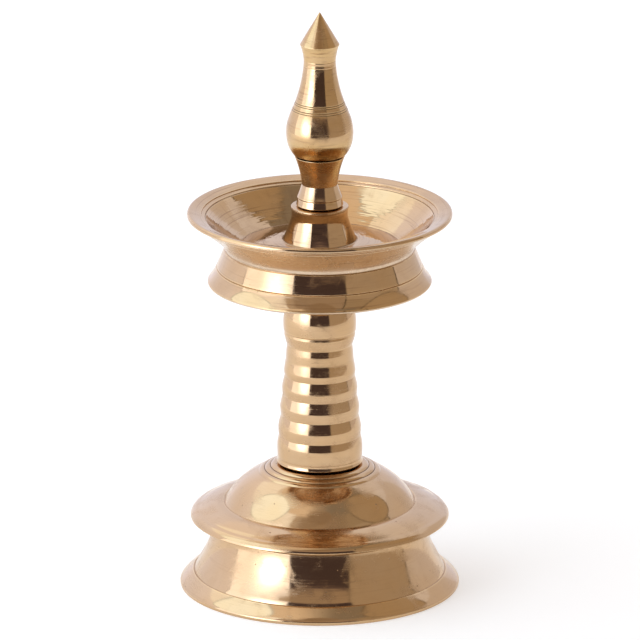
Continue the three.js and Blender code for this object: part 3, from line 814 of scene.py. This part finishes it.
def makeStud(node, thread):
    low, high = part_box(node)[0].z * 1000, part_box(node)[1].z * 1000
    middle, end = (low + high) / 2, (high - low) / 2
    radius, chamfer = thread["radius"], studs["chamfer"]
    rows = round((high - low) / thread["pitch"] * threadForm["studRows"])
    path = [(0, -end, 0)]
    lineTo(path, radius - chamfer, -end, 2)
    lineTo(path, radius, chamfer - end, 3)
    lineTo(path, radius, end - chamfer, rows)
    lineTo(path, radius - chamfer, end, 3)
    lineTo(path, 0, end, 2)

    def shape(r, z, angle):
        wave = threadWave(z + middle, angle, thread["pitch"])
        return min(r, radius - thread["depth"] * (1 - wave)), z

    turnPiece(node, path, studs["facets"], studFinish, corner=studs["corner"], place=middle,
              shape=shape)


for node in ("base_stud", "bowl_stud"):
    makeStud(node, stemThread)
for node in ("neck_stud", "bud_stud"):
    makeStud(node, finialThread)
print("samai: studs threaded")

# studio
# Azimuths are degrees about the lamp from the camera's side, to the right as the camera sees it.
# Lengths are in metres.

floorLook = dict(radius=12.0, height=-0.00005, colour=(0.66, 0.66, 0.66, 1), lift=0.5)
backgroundLook = dict(shown=1.0, fill=0.8, fillColour=(1.0, 0.985, 0.975, 1))
panels = dict(
    frontOpening=dict(
        azimuth=(-31, 30), height=(0.0, 0.63), colour=(0.088, 0.067, 0.073), strength=1.0, fade=(0.93, 2.2)),
    frontTop=dict(azimuth=(-31, 30), height=(0.63, 1.45), colour=(1.0, 0.82, 0.66), strength=0.48),
    leftSoftbox=dict(
        azimuth=(-95, -31), height=(0.0, 0.68), colour=(0.96, 1.03, 1.20), strength=1.95,
        hot=(0.7, 0.42, 2.9), core=(0.45, 0.6), fade=(0.75, 0.75), trims=((0.0, 0.02, 0.7),)),
    leftUpper=dict(azimuth=(-150, -42), height=(0.68, 1.45), colour=(0.91, 0.98, 1.06), strength=1.6),
    leftUpperInner=dict(azimuth=(-42, -31), height=(0.68, 1.45), colour=(1.0, 0.86, 0.72), strength=0.65),
    rightPanel=dict(
        azimuth=(30, 97), height=(0.0, 0.75), colour=(0.55, 0.47, 0.385), strength=1.0,
        trims=((0.0, 0.02, 0.6), (1.0, 0.03, 0.7))),
    rightUpper=dict(
        azimuth=(30, 110), height=(0.75, 1.45), colour=(0.60, 0.50, 0.38), strength=0.8,
        trims=((0.0, 0.03, 0.7),)),
    rightBack=dict(azimuth=(97, 150), height=(0.0, 0.75), colour=(0.80, 0.77, 0.80), strength=1.0),
    leftBack=dict(
        azimuth=(-150, -95), height=(0.0, 0.68), colour=(1.02, 1.05, 1.22), strength=1.08, hot=(1.0, 0.6, 1.05),
        fade=(0.3, 1.1)),
    back=dict(
        azimuth=(110, 210), height=(0.68, 1.45), colour=(0.93, 0.95, 1.08), strength=1.0, hot=(1.0, 0.6, 1.3)),
    backLower=dict(
        azimuth=(150, 210), height=(0.0, 0.75), colour=(0.92, 0.94, 1.1), strength=1.0, hot=(1.0, 0.7, 1.25)))
panelDistance, panelColumns = 0.95, 16
rounds = dict(
    frontRound=dict(azimuth=0, elevation=58, radius=0.19, colour=(1.0, 0.78, 0.58), strength=0.4, rim=1.15),
    leftRound=dict(azimuth=-91, elevation=48, radius=0.34, colour=(0.88, 1.03, 1.13), strength=1.85, rim=0.5),
    rightRound=dict(azimuth=90, elevation=49, radius=0.36, colour=(0.64, 0.52, 0.38), strength=0.86, rim=0.45))
roundDistance, rimStart, rimFull = 0.9, 0.92, 0.96
ceilingLook = dict(
    height=1.45, radius=1.3, colour=(1.0, 0.9, 0.78), strength=1.0, across=((0.35, 1.1), (0.6, 0.35)))


def addStage(name, mesh, material, seen):
    mesh.materials.append(material)
    made = bpy.data.objects.new(name, mesh)
    bpy.context.collection.objects.link(made)
    made.visible_camera = seen
    return made


def emptyTree(owner):
    owner.use_nodes = True
    owner.node_tree.nodes.clear()
    return owner.node_tree


def lightMaterial(name, look):
    # Even light, or light that changes over a panel. hot: where along it, how far and how much. core: where in its
    # height, and how far. across: two pairs of place and level. fade: from what height, and the share at the top.
    # rim: the share at a round's rim. trims: strips, as where along it, how wide and how much darker.
    made = bpy.data.materials.new(name)
    tree = emptyTree(made)
    spots = addNode(tree, "ShaderNodeTexCoord").outputs
    place = addNode(tree, "ShaderNodeSeparateXYZ", {0: spots["UV"]}).outputs

    def off(value, middle):
        return maths(tree, "ABSOLUTE", maths(tree, "SUBTRACT", value, middle))

    level = strength = look["strength"]
    if "hot" in look:
        middle, spread, gain = look["hot"]
        share = ramp(tree, off(place[0], middle), 0.0, spread, 1.0, 0.0)
        if "core" in look:
            middle, spread = look["core"]
            share = maths(tree, "MULTIPLY", share, ramp(tree, off(place[1], middle), 0.0, spread, 1.0, 0.0))
        level = ramp(tree, share, 0.0, 1.0, strength, strength * gain)
    if "across" in look:
        start, end = look["across"]
        side = addNode(tree, "ShaderNodeSeparateXYZ", {0: spots["Generated"]}).outputs[0]
        level = ramp(tree, side, start[0], end[0], start[1], end[1])
    if "fade" in look:
        start, share = look["fade"]
        level = maths(tree, "MULTIPLY", level, ramp(tree, place[1], start, 1.0, 1.0, share))
    if "rim" in look:
        radius = look["radius"]
        level = ramp(
            tree, vectorMaths(tree, "LENGTH", spots["Object"]), radius * rimStart, radius * rimFull,
            strength, strength * look["rim"])
    for at, width, depth in look.get("trims", ()):
        level = maths(tree, "MULTIPLY", level, ramp(tree, off(place[0], at), width * 0.5, width, 1.0 - depth, 1.0))
    glow = addNode(tree, "ShaderNodeEmission", {"Color": (*look["colour"], 1), "Strength": level})
    addNode(tree, "ShaderNodeOutputMaterial", {0: glow.outputs[0]})
    return made


def addPanel(name, look):
    start, end = look["azimuth"]
    spots, faces, uvs = [], [], []
    for height in look["height"]:
        for column in range(panelColumns + 1):
            angle = math.radians(start + (end - start) * column / panelColumns)
            spots.append((math.sin(angle) * panelDistance, -math.cos(angle) * panelDistance, height))
    for column in range(panelColumns):
        above = column + panelColumns + 1
        faces.append((column, above, above + 1, column + 1))
        left, right = column / panelColumns, (column + 1) / panelColumns
        uvs += [(left, 0), (left, 1), (right, 1), (right, 0)]
    mesh = bpy.data.meshes.new(name)
    mesh.from_pydata(spots, [], faces)
    layer = mesh.uv_layers.new(name="UVMap")
    for loop, uv in zip(layer.data, uvs):
        loop.uv = uv
    addStage(name, mesh, lightMaterial(name, look), False)


def addDisc(name, radius, height, material, seen, sides=64):
    angles = np.linspace(0, 2 * math.pi, sides + 1)[:-1]
    mesh = bpy.data.meshes.new(name)
    mesh.from_pydata(
        [(math.cos(a) * radius, math.sin(a) * radius, height) for a in angles], [], [tuple(range(sides))])
    return addStage(name, mesh, material, seen)


def addRound(name, look):
    made = addDisc(name, look["radius"], 0.0, lightMaterial(name, look), False)
    turn, rise = math.radians(look["azimuth"]), math.radians(look["elevation"])
    aim = Vector((math.sin(turn) * math.cos(rise), -math.cos(turn) * math.cos(rise), math.sin(rise)))
    made.location = aim * roundDistance
    made.rotation_euler = aim.to_track_quat("Z", "Y").to_euler()


def seenRays(tree):
    # Rays from the camera, straight on or by way of metal and glass
    rays = addNode(tree, "ShaderNodeLightPath").outputs
    seen = maths(tree, "ADD", rays["Is Camera Ray"], rays["Is Glossy Ray"])
    return maths(tree, "ADD", seen, rays["Is Transmission Ray"], clamp=True)


def makeFloor():
    made = bpy.data.materials.new("paleFloor")
    tree = emptyTree(made)
    matt = addNode(tree, "ShaderNodeBsdfDiffuse", {"Color": floorLook["colour"]})
    lift = addNode(tree, "ShaderNodeEmission", {
        "Color": (1, 1, 1, 1), "Strength": maths(tree, "MULTIPLY", seenRays(tree), floorLook["lift"])})
    both = addNode(tree, "ShaderNodeAddShader", {0: matt.outputs[0], 1: lift.outputs[0]})
    addNode(tree, "ShaderNodeOutputMaterial", {0: both.outputs[0]})
    addDisc("paleFloor", floorLook["radius"], floorLook["height"], made, True)


def makeBackground():
    world = bpy.data.worlds.new("studio")
    tree = emptyTree(world)
    seen = seenRays(tree)
    colour = blendColours(tree, seen, backgroundLook["fillColour"], (1, 1, 1, 1))
    level = ramp(tree, seen, 0, 1, backgroundLook["fill"], backgroundLook["shown"])
    back = addNode(tree, "ShaderNodeBackground", {"Color": colour, "Strength": level})
    addNode(tree, "ShaderNodeOutputWorld", {0: back.outputs[0]})
    bpy.context.scene.world = world


makeFloor()
makeBackground()
for name, look in panels.items():
    addPanel(name, look)
for name, look in rounds.items():
    addRound(name, look)
addDisc("ceiling", ceilingLook["radius"], ceilingLook["height"], lightMaterial("ceiling", ceilingLook), False)
print("samai: studio lit")

# camera
view = dict(aim=(0.0001, 0.0, 0.0941), distance=4.0, elevation=17.3, width=0.2185, sensor=36, clipEnd=60)


def addCamera():
    data = bpy.data.cameras.new("samaiView")
    data.sensor_width = view["sensor"]
    data.lens = view["sensor"] * view["distance"] / view["width"]
    data.clip_end = view["clipEnd"]
    camera = bpy.data.objects.new("samaiView", data)
    bpy.context.collection.objects.link(camera)
    tilt = math.radians(view["elevation"])
    back = Vector((0, -math.cos(tilt), math.sin(tilt)))
    camera.location = Vector(view["aim"]) + back * view["distance"]
    camera.rotation_euler = (-back).to_track_quat("-Z", "Y").to_euler()
    bpy.context.scene.camera = camera


addCamera()
bpy.context.scene.view_settings.view_transform = "Standard"
